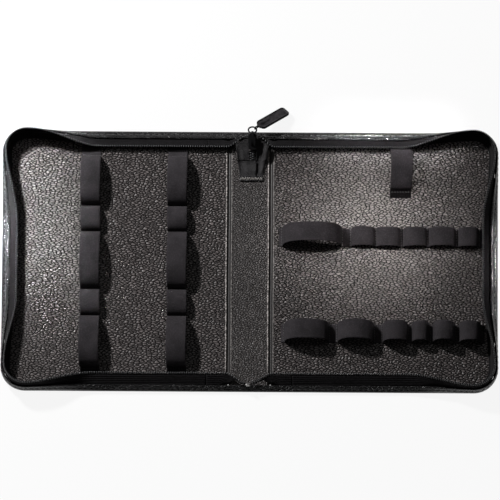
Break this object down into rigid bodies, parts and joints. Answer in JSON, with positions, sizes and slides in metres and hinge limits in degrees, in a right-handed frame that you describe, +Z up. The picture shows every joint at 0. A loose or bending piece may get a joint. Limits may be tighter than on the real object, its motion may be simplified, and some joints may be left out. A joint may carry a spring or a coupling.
{
  "type": "zip-round tool case",
  "caption": "Soft zip-round tool case lying open: two leatherette halves on a folding spine, elastic tool loops and a zip slider with pull tab.",
  "frame": {"origin": "middle of the spine's underside, on the surface that the open case lies on", "axes": "+X to the half with the rows of loops, +Y to the end with the zip slider, +Z up from the table"},
  "size_m": [0.496, 0.2988, 0.0218],
  "materials": {
    "leatherette": "black grained leatherette",
    "lining": "coarse crackle grain, half gloss",
    "board": "grey stiffening board",
    "zip_fabric": "woven black zip tape",
    "elastic": "woven charcoal elastic",
    "zip_teeth": "black nylon coil",
    "black_metal": "black enamel on zinc",
    "steel": "bright wire and stop",
    "pull_rubber": "moulded matt grey"
  },
  "bodies": {
    "spine": {"spine_cover": "leatherette", "spine_board": "board", "spine_lining": "lining", "spine_slider_end_strip": "leatherette", "spine_far_end_strip": "leatherette", "right_crease": "lining", "left_crease": "lining", "right_slider_end_pleat": "leatherette", "right_slider_end_zip_run": "zip_fabric", "right_far_end_pleat": "leatherette", "right_far_end_zip_run": "zip_fabric", "left_slider_end_pleat": "leatherette", "left_slider_end_zip_run": "zip_fabric", "left_far_end_pleat": "leatherette", "left_far_end_zip_run": "zip_fabric", "zip_tail": "zip_fabric", "tail_zip_chain": "zip_teeth", "tail_tack_patch": "leatherette", "zip_end_stop": "steel"},
    "right_half": {"right_cover": "leatherette", "right_board": "board", "right_lining": "lining", "right_wall": "leatherette", "right_wall_facing": "zip_fabric", "right_zip_tape": "zip_fabric", "right_zip_teeth": "zip_teeth", "upper_loop_row": "elastic", "lower_loop_row": "elastic", "single_loop": "elastic"},
    "left_half": {"left_cover": "leatherette", "left_board": "board", "left_lining": "lining", "left_wall": "leatherette", "left_wall_facing": "zip_fabric", "left_zip_tape": "zip_fabric", "left_zip_teeth": "zip_teeth", "outer_loop_band": "elastic", "inner_loop_band": "elastic"},
    "slider": {"zip_slider": "black_metal"},
    "ring": {"pull_ring": "black_metal"},
    "pull": {"tab_link": "steel", "pull_tab": "pull_rubber"}
  },
  "joints": [
    {"name": "right_fold", "type": "hinge", "parent": "spine", "child": "right_half", "pos_m": [0.021, 0, 0.0005], "axis": [0, -1, 0], "range_deg": [0, 90], "deforming": ["right_crease", "right_slider_end_pleat", "right_slider_end_zip_run", "right_far_end_pleat", "right_far_end_zip_run"]},
    {"name": "left_fold", "type": "hinge", "parent": "spine", "child": "left_half", "pos_m": [-0.021, 0, 0.0005], "axis": [0, 1, 0], "range_deg": [0, 90], "deforming": ["left_crease", "left_slider_end_pleat", "left_slider_end_zip_run", "left_far_end_pleat", "left_far_end_zip_run"]},
    {"name": "slider_travel", "type": "slide", "parent": "spine", "child": "slider", "axis": [0, -0.9397, -0.342], "range_m": [0, 0.008], "deforming": ["tail_zip_chain"]},
    {"name": "ring_swing", "type": "hinge", "parent": "slider", "child": "ring", "pos_m": [0.00175, 0.12975, 0.01859], "axis": [1, 0, 0], "range_deg": [-8, 120]},
    {"name": "tab_swing", "type": "hinge", "parent": "ring", "child": "pull", "pos_m": [0.00486, 0.13589, 0.01573], "axis": [0.6521, -0.6871, 0.3204], "range_deg": [-3, 110]}
  ]
}
